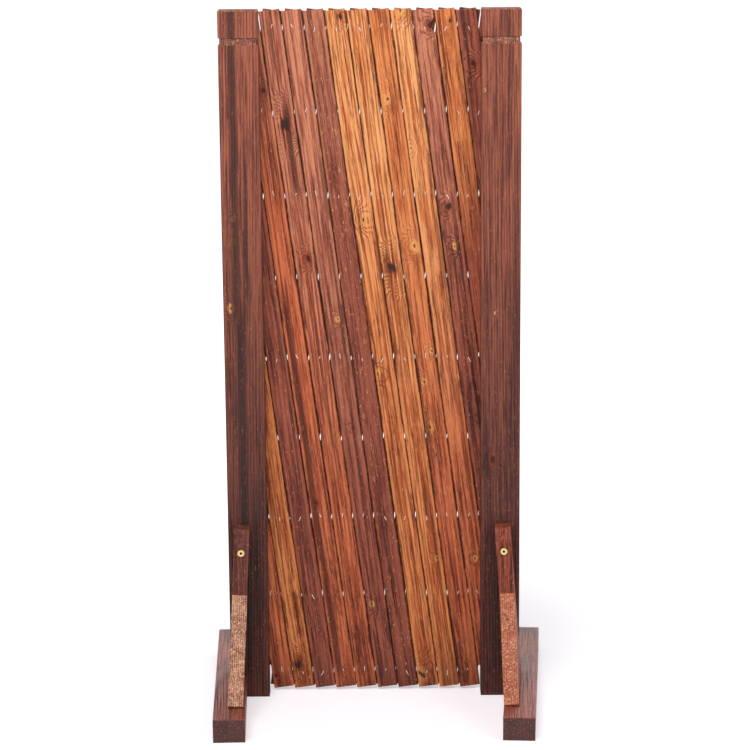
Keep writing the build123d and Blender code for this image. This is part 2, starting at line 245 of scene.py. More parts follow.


# Dark marks: patches where the flame stayed, the bands that a board is given, and its charred edges,
# which also take painted shade from the gaps beside them. The patches also grow towards the bottom
# and the bottom end is darkened, so the board is darker there. Also gives the lines just inside the
# edges that brushing rubbed, with a painted highlight on them.
def darkAndBrightMarks(tree, grain, across, along, sway, place, look):
    scorch = grain["patch"]
    # darkEnd lets the patches grow towards the bottom, so the board is darker there.
    for cause, weight in ((grain["streak"], 0.45), (grain["blotch"], 0.45), (along, -look["darkEnd"])):
        scorch = addNode(tree, "ShaderNodeMath", {0: cause, 1: weight, 2: scorch},
                         operation="MULTIPLY_ADD").outputs[0]
    patches = addNode(tree, "ShaderNodeMapRange", {
        "Value": scorch, "From Min": look["scorchAt"] - charShape["softBelow"],
        "From Max": look["scorchAt"] + charShape["softAbove"], "To Max": look["scorch"]},
        interpolation_type="SMOOTHSTEP").outputs[0]
    toEnd = place["length"] / 2
    height = addNode(tree, "ShaderNodeMath", {0: grain["patch"], 1: charShape["endWaver"] * mm, 2: along},
                     operation="MULTIPLY_ADD").outputs[0]
    end = addNode(tree, "ShaderNodeMapRange", {
        "Value": height, "From Min": charShape["endStarts"] * mm - toEnd,
        "From Max": charShape["endFull"] * mm - toEnd, "To Max": look["bottomEndDark"]},
        interpolation_type="SMOOTHSTEP").outputs[0]
    shares = [patches, end]

    swayAcross = addNode(tree, "ShaderNodeSeparateXYZ", {0: sway}).outputs[0]
    drift = addNode(tree, "ShaderNodeMath", {0: swayAcross, 1: charShape["bandSway"] * mm, 2: across},
                    operation="MULTIPLY_ADD").outputs[0]
    waver = charShape["bandWaver"] * mm
    for bandAcross, bandWidth, strength, top, bottom in look["bands"]:
        off = addNode(tree, "ShaderNodeMath", {0: drift, 1: bandAcross * mm}, operation="SUBTRACT").outputs[0]
        off = addNode(tree, "ShaderNodeMath", {0: off}, operation="ABSOLUTE").outputs[0]
        off = addNode(tree, "ShaderNodeMath", {0: grain["streak"], 1: waver, 2: off},
                      operation="MULTIPLY_ADD").outputs[0]
        band = addNode(tree, "ShaderNodeMapRange", {
            "Value": off, "From Min": waver / 2 + bandWidth * mm,
            "From Max": waver / 2 + charShape["bandFull"] * bandWidth * mm, "To Max": strength},
            interpolation_type="SMOOTHSTEP").outputs[0]
        for endsAt, fade in ((bottom, charShape["bandFade"]), (top, -charShape["bandFade"])):
            window = addNode(tree, "ShaderNodeMapRange", {
                "Value": along, "From Min": endsAt * mm, "From Max": (endsAt + fade) * mm},
                interpolation_type="SMOOTHSTEP").outputs[0]
            band = addNode(tree, "ShaderNodeMath", {0: band, 1: window}, operation="MULTIPLY").outputs[0]
        shares.append(band)

    # The edges: charred, and painted shade from the gaps beside them.
    half = place["width"] / 2
    side = addNode(tree, "ShaderNodeMath", {0: across}, operation="ABSOLUTE").outputs[0]
    side = addNode(tree, "ShaderNodeMath", {0: grain["blotch"], 1: charShape["edgeWaver"] * mm, 2: side},
                   operation="MULTIPLY_ADD").outputs[0]
    shares.append(addNode(tree, "ShaderNodeMapRange", {
        "Value": side, "From Min": half - charShape["edgeStarts"] * mm,
        "From Max": half + charShape["edgeFull"] * mm, "To Max": look["edge"]},
        interpolation_type="SMOOTHSTEP").outputs[0])
    burnt = shares[0]
    for share in shares[1:]:
        burnt = addNode(tree, "ShaderNodeMath", {0: burnt, 1: share}, operation="MAXIMUM").outputs[0]

    # Lines just inside the edges that brushing rubbed, with a painted highlight on them.
    inside = addNode(tree, "ShaderNodeMapRange", {
        "Value": side, "From Min": half - charShape["wearAndHighlightStarts"] * mm,
        "From Max": half - charShape["wearAndHighlightFull"] * mm}).outputs[0]
    rubbedAndLitSpots = addNode(tree, "ShaderNodeMapRange", {
        "Value": grain["cloud"], "From Min": 0.48, "From Max": 0.56, "To Max": look["wearAndHighlight"]}).outputs[0]
    wearAndHighlight = addNode(tree, "ShaderNodeMath", {0: inside, 1: rubbedAndLitSpots}, operation="MULTIPLY").outputs[0]
    return burnt, wearAndHighlight


def carbonisedFir(name, place, choices):
    material, tree, shader = newMaterial(name)
    look = {**firDefaults, **choices}
    coords = addNode(tree, "ShaderNodeTexCoord")
    local = addNode(tree, "ShaderNodeMapping", {
        "Vector": coords.outputs["Object"], "Location": place["middle"], "Rotation": place["turn"]},
        vector_type="TEXTURE").outputs[0]
    parts = addNode(tree, "ShaderNodeSeparateXYZ", {0: local}).outputs
    across, along = parts["X"], parts["Z"]
    lower = addNode(tree, "ShaderNodeMapRange", {
        "Value": along, "From Min": look["turnsFrom"] * mm, "From Max": look["turnsTo"] * mm},
        interpolation_type="SMOOTHSTEP").outputs[0]
    tones = {key: linear(value) for key, value in knotTones.items()}
    lowTones = woodTones[look.get("lowTone", look["tone"])]
    for key, value in woodTones[look["tone"]].items():
        tones["wood " + key] = addNode(tree, "ShaderNodeMix", {
            "Factor": lower, "A": linear(value), "B": linear(lowTones[key])},
            data_type="RGBA").outputs["Result"]

    noises = grainOf(tree, local, look)
    grain = {key: outputs["Fac"] for key, outputs in noises.items()}
    sway, jitter = (
        addNode(tree, "ShaderNodeVectorMath", {0: noises[key]["Color"], 1: (0.5, 0.5, 0.5)},
                operation="SUBTRACT").outputs[0] for key in ("broad", "ripple"))
    late, spots = ringsAndKnots(tree, local, along, sway, jitter, look)
    burnt, wearAndHighlight = darkAndBrightMarks(tree, grain, across, along, sway, place, look)
    ringShare = addNode(tree, "ShaderNodeMapRange", {
        "Value": grain["streak"], "From Min": 0.3, "From Max": 0.7, "To Min": 0.45 * look["rings"],
        "To Max": look["rings"]}).outputs[0]
    lines = addNode(tree, "ShaderNodeMath", {0: late, 1: ringShare}, operation="MULTIPLY").outputs[0]
    darkest = addNode(tree, "ShaderNodeMath", {0: lines, 1: lines}, operation="MULTIPLY").outputs[0]

    # Tones laid on in turn over the pale early wood. Each lies where its share says, or where a
    # noise says, from the value at which it starts to the one at which it has its full strength.
    layers = [
        (("cloud", 0.44, 0.6, 0.85), "wood deep"),
        (lines, "wood deep"),
        (darkest, "wood burnt"),
        (spots.get("pale"), "pale"),
        (spots.get("halo"), "halo"),
        (("streak", 0.49, 0.61, look["streaks"]), "wood deep"),
        (("streak", 0.6, 0.68, look["streaks"]), "wood burnt"),
        (("fibre", 0.54, 0.61, 0.8), "wood burnt"),
        (("fibre", 0.46, 0.4, 0.9), "wood pale"),
        # Char, with the painted shade of the gaps at the edges, and darker towards the bottom.
        (burnt, "wood burnt"),
        # Rubbed lines inside the edges, carrying a painted highlight.
        (wearAndHighlight, "wood pale"),
        # Painted highlights: small bright glints on the fibres.
        (("speck", 0.6, 0.66, look["specksAndGlints"]), "paintedGlint"),
        (spots.get("dark"), "dark"),
    ]
    colour = tones["wood pale"]
    for share, tone in layers:
        if share is None:
            continue
        if isinstance(share, tuple):
            noise, starts, full, strength = share
            share = addNode(tree, "ShaderNodeMapRange", {
                "Value": grain[noise], "From Min": starts, "From Max": full, "To Max": strength},
                interpolation_type="SMOOTHSTEP").outputs[0]
        colour = addNode(tree, "ShaderNodeMix", {"Factor": share, "A": colour, "B": tones[tone]},
                         data_type="RGBA").outputs["Result"]
    tree.links.new(colour, shader.inputs["Base Color"])

    # The brushed surface: late wood proud, fibres torn, a little uneven all over
    relief = grain["blotch"]
    for height, weight in ((grain["fibre"], reliefShape["fibre"]), (late, reliefShape["late"]),
                           (grain["speck"], reliefShape["speck"] * look["specksAndGlints"])):
        relief = addNode(tree, "ShaderNodeMath", {0: height, 1: weight, 2: relief},
                         operation="MULTIPLY_ADD").outputs[0]
    bump = addNode(tree, "ShaderNodeBump", {
        "Height": relief, "Strength": 1.0, "Distance": reliefShape["depth"] * mm})
    tree.links.new(bump.outputs[0], shader.inputs["Normal"])
    matt = addNode(tree, "ShaderNodeMapRange", {
        "Value": grain["fibre"], "From Min": 0.3, "From Max": 0.8, "To Min": look["gloss"],
        "To Max": look["gloss"] + 0.3})
    tree.links.new(matt.outputs[0], shader.inputs["Roughness"])
    shader.inputs["IOR"].default_value = 1.5
    shader.inputs["Specular IOR Level"].default_value = look["shine"]
    return material


# A saw cut through the same fir: paler than the scorched faces, with its growth rings and torn
# fibres, shown as small bright specks painted as highlights and dark specks painted as shade in the
# hollows between them.
sawCut = {"ringGap": 3.4, "specksPerMetre": 290.0, "cloudsPerMetre": 38.0, "hollowShade": "5a2a1c",
          "roughness": 0.75}


def sawnFir(name, place, pale, deep, sparkle, seed):
    material, tree, shader = newMaterial(name)
    coords = addNode(tree, "ShaderNodeTexCoord")
    local = addNode(tree, "ShaderNodeMapping", {
        "Vector": coords.outputs["Object"], "Location": place["middle"], "Rotation": place["turn"]},
        vector_type="TEXTURE").outputs[0]
    shifted = addNode(tree, "ShaderNodeMapping", {
        "Vector": local, "Location": (seed * 3.7, seed * 1.9, seed * 5.3)}).outputs[0]
    speck = addNode(tree, "ShaderNodeTexNoise", {
        "Vector": shifted, "Scale": sawCut["specksPerMetre"], "Detail": 4.0, "Roughness": 0.8}).outputs["Fac"]
    cloud = addNode(tree, "ShaderNodeTexNoise", {
        "Vector": shifted, "Scale": sawCut["cloudsPerMetre"], "Detail": 3.0, "Roughness": 0.6}).outputs["Fac"]
    rings = addNode(tree, "ShaderNodeTexWave", {
        "Vector": shifted, "Scale": 2 * math.pi / 20 / (sawCut["ringGap"] * mm), "Distortion": 3.0,
        "Detail": 2.0, "Detail Scale": 0.6}, bands_direction="X", wave_profile="SAW").outputs["Fac"]
    shade = addNode(tree, "ShaderNodeMath", {0: rings, 1: 0.4, 2: cloud}, operation="MULTIPLY_ADD")
    share = addNode(tree, "ShaderNodeMapRange", {
        "Value": shade.outputs[0], "From Min": 0.45, "From Max": 0.85}).outputs[0]
    colour = addNode(tree, "ShaderNodeMix", {"Factor": share, "A": linear(pale), "B": linear(deep)},
                     data_type="RGBA").outputs["Result"]
    # Painted highlights on the torn fibres, then painted shade in their hollows.
    for low, high, tone in ((0.55, 0.6, sparkle), (0.46, 0.4, sawCut["hollowShade"])):
        spots = addNode(tree, "ShaderNodeMapRange", {
            "Value": speck, "From Min": low, "From Max": high, "To Max": 0.65},
            interpolation_type="SMOOTHSTEP").outputs[0]
        colour = addNode(tree, "ShaderNodeMix", {"Factor": spots, "A": colour, "B": linear(tone)},
                         data_type="RGBA").outputs["Result"]
    tree.links.new(colour, shader.inputs["Base Color"])
    bump = addNode(tree, "ShaderNodeBump", {"Height": speck, "Strength": 0.8, "Distance": 0.7 * mm})
    tree.links.new(bump.outputs[0], shader.inputs["Normal"])
    shader.inputs["Roughness"].default_value = sawCut["roughness"]
    shader.inputs["IOR"].default_value = 1.5
    return material


# Drawn or plated metal: bright, with a fine grit that varies its gloss.
def brightMetal(name, bright, dull, gritPerMetre, smooth, rough):
    material, tree, shader = newMaterial(name)
    coords = addNode(tree, "ShaderNodeTexCoord")
    wear = addNode(tree, "ShaderNodeTexNoise", {
        "Vector": coords.outputs["Object"], "Scale": gritPerMetre, "Detail": 3.0,
        "Roughness": 0.6}).outputs["Fac"]
    shade = addNode(tree, "ShaderNodeMix", {"Factor": wear, "A": linear(bright), "B": linear(dull)},
                    data_type="RGBA")
    tree.links.new(shade.outputs["Result"], shader.inputs["Base Color"])
    matt = addNode(tree, "ShaderNodeMapRange", {"Value": wear, "To Min": smooth, "To Max": rough})
    tree.links.new(matt.outputs[0], shader.inputs["Roughness"])
    shader.inputs["Metallic"].default_value = 1.0
    return material


drawnSteelWire = brightMetal("drawnSteelWire", "fbf8f2", "c9c2b8", 900.0, 0.25, 0.5)
brassPlatedSteel = brightMetal("brassPlatedSteel", "f0dca0", "b9975a", 800.0, 0.22, 0.45)
zincPlatedSteel = brightMetal("zincPlatedSteel", "dfdcd2", "aba79e", 700.0, 0.3, 0.5)
print("metals made")


def newGeometryTree(name, inputs):
    tree = bpy.data.node_groups.new(name, "GeometryNodeTree")
    tree.interface.new_socket(name="Geometry", in_out="INPUT", socket_type="NodeSocketGeometry")
    for label, kind, default in inputs:
        socket = tree.interface.new_socket(name=label, in_out="INPUT", socket_type=kind)
        if default is not None:
            socket.default_value = default
    tree.interface.new_socket(name="Geometry", in_out="OUTPUT", socket_type="NodeSocketGeometry")
    return tree, addNode(tree, "NodeGroupInput").outputs


# Realizes and dresses what a tree has made, and sends it out.
def closeGeometryTree(tree, geometry, material):
    real = addNode(tree, "GeometryNodeRealizeInstances", {0: geometry})
    dressed = addNode(tree, "GeometryNodeSetMaterial", {"Geometry": real.outputs[0], "Material": material})
    addNode(tree, "NodeGroupOutput", {0: dressed.outputs[0]})


# Runs a geometry tree on a mesh and gives the result as a plain mesh object.
def runTree(name, tree, inputs, startMesh=None):
    start = bpy.data.objects.new(name + "Start", startMesh or bpy.data.meshes.new(name + "Start"))
    bpy.context.scene.collection.objects.link(start)
    modifier = start.modifiers.new("shape", "NODES")
    modifier.node_group = tree
    for item in tree.interface.items_tree:
        if item.in_out == "INPUT" and item.name in inputs:
            modifier[item.identifier] = inputs[item.name]
    bpy.context.view_layer.update()
    graph = bpy.context.evaluated_depsgraph_get()
    mesh = bpy.data.meshes.new_from_object(start.evaluated_get(graph), depsgraph=graph)
    start.modifiers.remove(modifier)
    bpy.data.objects.remove(start)
    mesh.name = name
    piece = bpy.data.objects.new(name, mesh)
    bpy.context.scene.collection.objects.link(piece)
    return piece


# Hands a finished piece over: it takes the place of its CAD node and rides on that node's body.
def handOver(piece, node):
    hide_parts(node)
    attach(piece, frame["nodes"][node]["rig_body"])


# A rough-sawn slat about its own middle: a rounded bar along z. Its edges waver a little, slowly
# with the tree's growth and quickly with the saw, and a chip may be broken out of its right edge.
slatShape = {"edgeRadius": 0.9, "spare": 1.0, "slowWaver": 2.8, "quickWaver": 1.3, "chipSide": 12,  # in mm
             "stations": 260, "sharpAngle": 50}


def sawnSlatTree():
    tree, given = newGeometryTree("sawnSlat", [
        ("Length", "NodeSocketFloat", 1.2), ("Width", "NodeSocketFloat", 0.0336),
        ("Thickness", "NodeSocketFloat", 0.009), ("Edge Radius", "NodeSocketFloat", 0.0008),
        ("Slow Waver", "NodeSocketFloat", 0.002), ("Quick Waver", "NodeSocketFloat", 0.001),
        ("Chip At", "NodeSocketFloat", 9.0), ("Chip Depth", "NodeSocketFloat", 0.0),
        ("Chip Height", "NodeSocketFloat", 0.012), ("Seed", "NodeSocketFloat", 1.0),
        ("Material", "NodeSocketMaterial", None)])
    ends = []
    for share in (-0.5, 0.5):
        height = addNode(tree, "ShaderNodeMath", {0: given["Length"], 1: share}, operation="MULTIPLY")
        ends.append(addNode(tree, "ShaderNodeCombineXYZ", {2: height.outputs[0]}).outputs[0])
    line = addNode(tree, "GeometryNodeCurvePrimitiveLine", {"Start": ends[0], "End": ends[1]})
    stations = addNode(tree, "GeometryNodeResampleCurve", {
        "Curve": line.outputs[0], "Count": slatShape["stations"]})
    outline = addNode(tree, "GeometryNodeCurvePrimitiveQuadrilateral", {
        "Width": given["Width"], "Height": given["Thickness"]}, mode="RECTANGLE")
    rounded = addNode(tree, "GeometryNodeFilletCurve", {
        "Curve": outline.outputs[0], "Radius": given["Edge Radius"], "Count": 2}, mode="POLY")
    bar = addNode(tree, "GeometryNodeCurveToMesh", {
        "Curve": stations.outputs[0], "Profile Curve": rounded.outputs[0], "Fill Caps": True})
    position = addNode(tree, "GeometryNodeInputPosition").outputs[0]
    shift = addNode(tree, "ShaderNodeCombineXYZ", {0: given["Seed"], 1: given["Seed"]}).outputs[0]
    wavers = []
    for scale, detail, amount in (((45, 45, 2.6), 1.0, "Slow Waver"), ((60, 90, 70), 3.0, "Quick Waver")):
        spread = addNode(tree, "ShaderNodeVectorMath", {0: position, 1: scale, 2: shift},
                         operation="MULTIPLY_ADD")
        noise = addNode(tree, "ShaderNodeTexNoise", {
            "Vector": spread.outputs[0], "Scale": 1.0, "Detail": detail, "Roughness": 0.6}).outputs["Fac"]
        centred = addNode(tree, "ShaderNodeMath", {0: noise, 1: 0.5}, operation="SUBTRACT").outputs[0]
        wavers.append(addNode(tree, "ShaderNodeMath", {0: centred, 1: given[amount]},
                              operation="MULTIPLY").outputs[0])
    total = addNode(tree, "ShaderNodeMath", {0: wavers[0], 1: wavers[1]}, operation="ADD").outputs[0]
    parts = addNode(tree, "ShaderNodeSeparateXYZ", {0: position}).outputs
    above = addNode(tree, "ShaderNodeMath", {0: parts["Z"], 1: given["Chip At"]}, operation="SUBTRACT")
    share = addNode(tree, "ShaderNodeMath", {0: above.outputs[0], 1: given["Chip Height"]},
                    operation="DIVIDE")
    fromChip = addNode(tree, "ShaderNodeMath", {0: share.outputs[0]}, operation="ABSOLUTE").outputs[0]
    bite = addNode(tree, "ShaderNodeMapRange", {"Value": fromChip, "From Min": 1.0, "From Max": 0.3},
                   interpolation_type="SMOOTHSTEP").outputs[0]
    onRight = addNode(tree, "ShaderNodeMapRange", {
        "Value": parts["X"], "From Min": 0.0, "From Max": slatShape["chipSide"] * mm}).outputs[0]
    for share in (onRight, given["Chip Depth"]):
        bite = addNode(tree, "ShaderNodeMath", {0: bite, 1: share}, operation="MULTIPLY").outputs[0]
    total = addNode(tree, "ShaderNodeMath", {0: total, 1: bite}, operation="SUBTRACT").outputs[0]
    move = addNode(tree, "ShaderNodeCombineXYZ", {0: total}).outputs[0]
    uneven = addNode(tree, "GeometryNodeSetPosition", {"Geometry": bar.outputs[0], "Offset": move})
    closeGeometryTree(tree, uneven.outputs[0], given["Material"])
    return tree


# Slats, numbered from the left in each layer. Knots are given as millimetres up the slat from its
# middle, millimetres to the right, radius and kind. Bands are dark streaks: millimetres to the
# right, half width, strength, and the heights of their top and bottom. A chip has a height, a depth
# and a reach up and down.
frontLooks = [
    {"tone": "copper", "seed": 1, "rings": 0.6, "bottomEndDark": 0.7, "knots": [(-150, -12, 4, "dark")]},
    {"tone": "amber", "seed": 2, "rings": 0.95, "specksAndGlints": 0.95, "ringWidth": 5.5, "wander": 9,
     "knots": [(-271, -6, 9, "dark")]},
    {"tone": "umber", "seed": 3, "rings": 0.5, "bands": [(9, 3, 0.5, 300, -300)],
     "knots": [(-332, -13, 3.5, "pale")]},
    {"tone": "rose", "lowTone": "copper", "seed": 4, "rings": 0.6, "turnsFrom": 600, "turnsTo": 200,
     "bands": [(-10, 8, 0.85, 140, -620)],
     "knots": [(464, 8, 5, "dark"), (-32, -12, 3, "pale"), (-124, -11, 3, "pale"), (-259, -5, 3.5, "dark"),
               (-474, -11, 4, "pale"), (-515, -10, 2.5, "pale")]},
    {"tone": "rose", "lowTone": "copper", "seed": 5, "rings": 1.0, "ringWidth": 5, "pithAcross": 90,
     "streaks": 0.9,
     "bands": [(4, 6, 0.85, 480, 260), (-4, 3, 0.7, 620, 470), (3, 3, 0.6, 120, -200)],
     "knots": [(407, -1, 13, "dark"), (175, 5, 6, "dark")]},
    {"tone": "rose", "lowTone": "umber", "seed": 6, "rings": 0.8, "ringWidth": 6,
     "bands": [(12, 4, 0.7, 380, -60)],
     "knots": [(69, 5, 4, "pale"), (-125, 4, 3, "dark"), (-445, -8, 5, "pale")]},
    {"tone": "rose", "lowTone": "umber", "seed": 7, "rings": 0.3, "specksAndGlints": 1.0, "turnsFrom": 700,
     "turnsTo": 100,
     "knots": [(27, 10, 3, "pale"), (-102, -10, 3, "pale"), (-214, -8, 2.5, "pale")]},
    {"tone": "honey", "lowTone": "amber", "seed": 8, "rings": 1.0, "ringWidth": 7, "wander": 12,
     "pithAcross": -60, "pithDepth": 50, "turnsTo": 0,
     "knots": [(587, 9, 6, "dark"), (243, -1, 7, "pale"), (-27, -13, 6, "pale"), (-577, -9, 11, "pale")]},
    {"tone": "honey", "lowTone": "amber", "seed": 9, "rings": 1.0, "ringWidth": 5.5, "pithAcross": 120,
     "knots": [(159, 0, 12, "dark"), (-364, 9, 4, "pale")]},
    {"tone": "amber", "lowTone": "copper", "seed": 10, "rings": 0.6,
     "knots": [(452, -5, 7, "pale"), (196, 7, 8, "pale"), (10, 11, 4, "pale"), (-42, -7, 5, "pale"),
               (-122, -9, 8, "pale")]},
    {"tone": "honey", "lowTone": "copper", "seed": 11, "rings": 0.8, "ringWidth": 7, "bottomEndDark": 0.9,
     "bands": [(14, 3, 0.6, 620, -600)],
     "knots": [(580, 0, 8, "pale"), (347, -13, 4, "pale"), (-385, 3, 4, "pale")]},
    {"tone": "rose", "lowTone": "umber", "seed": 12, "rings": 1.0, "ringWidth": 6, "wander": 12,
     "chip": (428, 6, 14), "turnsFrom": 460, "turnsTo": -100,
     "knots": [(430, 10, 6, "dark"), (53, 2, 5, "pale"), (123, 1, 6, "dark")]},
    {"tone": "amber", "lowTone": "russet", "seed": 13, "rings": 0.5, "turnsFrom": 150, "turnsTo": -150,
     "knots": [(294, 7, 3, "dark"), (216, -13, 4, "pale")]},
    {"tone": "umber", "seed": 14, "rings": 0.9, "wander": 11, "ringWidth": 6, "knots": [(80, 0, 6, "dark")]},
]
backTones = ["russet", "umber", "copper", "umber", "amber", "russet", "plum"]
backLooks = [{"tone": backTones[n * 3 % 7], "seed": 30 + n, "ringWidth": 3.6 + n % 4 * 0.7}
             for n in range(14)]


def makeSlats(layer, looks, tree):
    for order, look in enumerate(looks, start=1):
        node = f"{layer}_slat_{order:02d}"
        place = slatPlace(node)
        chipAt, chipDepth, chipHeight = look.get("chip", (0, 0, 12))  # no chip is one without a depth
        piece = runTree(f"{layer}Slat{order:02d}", tree, {
            "Length": place["length"], "Width": place["width"] + slatShape["spare"] * mm,
            "Thickness": place["thickness"], "Edge Radius": slatShape["edgeRadius"] * mm,
            "Slow Waver": slatShape["slowWaver"] * mm, "Quick Waver": slatShape["quickWaver"] * mm,
            "Chip At": chipAt * mm, "Chip Depth": chipDepth * mm, "Chip Height": chipHeight * mm,
            "Seed": 5.0 * look["seed"],
            "Material": carbonisedFir(f"carbonisedFir_{layer}{order:02d}", place, look)})
        piece.data.transform(Matrix.Translation(place["middle"]) @ Matrix.Rotation(place["turn"][1], 4, "Y"))
        piece.data.shade_smooth()
        piece.data.set_sharp_from_angle(angle=math.radians(slatShape["sharpAngle"]))
        handOver(piece, node)


slatTree = sawnSlatTree()
makeSlats("front", frontLooks, slatTree)
makeSlats("back", backLooks, slatTree)
print("slats made")


# A clinched wire tie on each given point: a pin along y, its two tails bent over flat.
def clinchedTieTree():
    tree, given = newGeometryTree("clinchedTie", [
        ("Wire", "NodeSocketFloat", 0.0018), ("Tail", "NodeSocketFloat", 0.011),
        ("Front", "NodeSocketFloat", 0.017), ("Back", "NodeSocketFloat", 0.038),
        ("Bend", "NodeSocketFloat", 0.0012), ("Material", "NodeSocketMaterial", None)])
    path = []
    for share, level, lift in ((1.0, "Front", 0), (0.55, "Front", 0.0004), (0, "Front", 0), (0, "Back", 0),
                               (-1.0, "Back", 0)):
        reach = addNode(tree, "ShaderNodeMath", {0: given["Tail"], 1: share}, operation="MULTIPLY").outputs[0]
        path.append(addNode(tree, "ShaderNodeCombineXYZ", {0: reach, 1: given[level], 2: lift}).outputs[0])
    line = addNode(tree, "GeometryNodeMeshLine", {"Count": len(path)})
    index = addNode(tree, "GeometryNodeInputIndex")
    choose = addNode(tree, "GeometryNodeIndexSwitch", data_type="VECTOR")
    while len(choose.index_switch_items) < len(path):
        choose.index_switch_items.new()
    tree.links.new(index.outputs[0], choose.inputs["Index"])
    for number, spot in enumerate(path):
        tree.links.new(spot, choose.inputs[1 + number])
    placed = addNode(tree, "GeometryNodeSetPosition", {
        "Geometry": line.outputs[0], "Position": choose.outputs[0]})
    curve = addNode(tree, "GeometryNodeMeshToCurve", {0: placed.outputs[0]})
    bent = addNode(tree, "GeometryNodeFilletCurve", {
        "Curve": curve.outputs[0], "Radius": given["Bend"], "Count": 4}, mode="POLY")
    radius = addNode(tree, "ShaderNodeMath", {0: given["Wire"], 1: 0.5}, operation="MULTIPLY").outputs[0]
    ring = addNode(tree, "GeometryNodeCurvePrimitiveCircle", {"Resolution": 10, "Radius": radius})
    wire = addNode(tree, "GeometryNodeCurveToMesh", {
        "Curve": bent.outputs[0], "Profile Curve": ring.outputs[0], "Fill Caps": True})
    smooth = addNode(tree, "GeometryNodeSetShadeSmooth", {0: wire.outputs[0]})
    turn = addNode(tree, "GeometryNodeInputNamedAttribute", {"Name": "turn"}, data_type="FLOAT")
    euler = addNode(tree, "ShaderNodeCombineXYZ", {1: turn.outputs[0]})
    reach = addNode(tree, "GeometryNodeInputNamedAttribute", {"Name": "reach"}, data_type="FLOAT")
    stretch = addNode(tree, "ShaderNodeCombineXYZ", {0: reach.outputs[0], 1: 1.0, 2: 1.0})
    spread = addNode(tree, "GeometryNodeInstanceOnPoints", {
        "Points": given["Geometry"], "Instance": smooth.outputs[0], "Rotation": euler.outputs[0],
        "Scale": stretch.outputs[0]})
    closeGeometryTree(tree, spread.outputs[0], given["Material"])
    return tree


# The grid of ties comes from the two pivots of the lattice and the lean of its slats.
tieShape = {"wire": 1.4, "tail": 9, "bend": 1.4, "columns": 11, "rows": 8, "linkRows": (1, 7),
            "linkColumns": (0.5, 2.5, 9.5, 10.5), "reach": 0.75, "reachSpread": 0.25, "turnSpread": 28}
leftPivot = Vector(frame["joints"][0]["pos_m"])
rightPivot = next(Vector(joint["pos_m"]) for joint in frame["joints"] if joint["child"] == "right_stand")


def tieSpots(number):
    # The grid columns and rows at which one front slat is tied; number 0 starts at the left column.
    columns, rows = tieShape["columns"], tieShape["rows"]
    spots = []
    for row in range(rows + 1):
        column = number + row / 2
        backNumber = column + row / 2
        onPivot = row == rows // 2 and column in (0, columns)
        regular = row % 2 == 0 and 1 <= backNumber <= columns + 3 and not onPivot
        linked = row in tieShape["linkRows"] and column in tieShape["linkColumns"]
        if 0 <= column <= columns and (regular or linked):
            spots.append((column, row))
    return spots


def makeTies():
    tree = clinchedTieTree()
    columnStep = (rightPivot.x - leftPivot.x) / tieShape["columns"]
    rowStep = columnStep / 2 / math.tan(abs(slatPlace("front_slat_07")["turn"][1]))
    made = 0
    for order in range(1, 15):
        node = f"ties_{order:02d}"
        low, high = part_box(node)
        spots = tieSpots(order - 4)
        start = bpy.data.meshes.new(node)
        start.from_pydata([
            (leftPivot.x + column * columnStep, 0, leftPivot.z + (tieShape["rows"] / 2 - row) * rowStep)
            for column, row in spots], [], [])
        turns = start.attributes.new("turn", "FLOAT", "POINT")
        reaches = start.attributes.new("reach", "FLOAT", "POINT")
        for place, (column, row) in enumerate(spots):  # each wire was bent over by hand, up or down
            spread = tieShape["reachSpread"] * math.sin(3.1 * column + 5.3 * row)
            reaches.data[place].value = tieShape["reach"] + spread
            turn = 90 if math.sin(5.1 * column + 3.7 * row) > 0 else -90
            turn += tieShape["turnSpread"] * math.sin(2.3 * column + 1.7 * row)
            turns.data[place].value = math.radians(turn)
        piece = runTree(f"wireTies{order:02d}", tree, {
            "Wire": tieShape["wire"] * mm, "Tail": tieShape["tail"] * mm, "Front": low.y + 1 * mm,
            "Back": high.y - 1 * mm, "Bend": tieShape["bend"] * mm, "Material": drawnSteelWire}, start)
        handOver(piece, node)
        made += len(spots)
    print("wire ties made:", made)


makeTies()


# A welded copy of a CAD piece with its edges eased. Faces that pass a test take the second finish.
copyShape = {"weld": 0.002, "flatAngle": 0.5, "segments": 2, "sharpAngle": 40}  # in mm and degrees


def dressedCopy(name, node, ease, finishes, isSecond):
    mesh = frame["nodes"][node].data.copy()
    shape = bmesh.new()
    shape.from_mesh(mesh)
    bmesh.ops.remove_doubles(shape, verts=shape.verts, dist=copyShape["weld"] * mm)
    bmesh.ops.dissolve_limit(shape, angle_limit=math.radians(copyShape["flatAngle"]), verts=shape.verts,
                             edges=shape.edges)
    for face in shape.faces:
        face.material_index = 1 if isSecond(face.normal, face.calc_center_median()) else 0
        face.smooth = False
    mesh.materials.clear()
    for finish in finishes:
        mesh.materials.append(finish)
    shape.to_mesh(mesh)
    shape.free()
    piece = bpy.data.objects.new(name, mesh)
    bpy.context.scene.collection.objects.link(piece)
    bevel = piece.modifiers.new("easedEdges", "BEVEL")
    bevel.width = ease * mm
    bevel.segments = copyShape["segments"]
    bevel.limit_method = "ANGLE"
    bevel.angle_limit = math.radians(copyShape["sharpAngle"])
    handOver(piece, node)


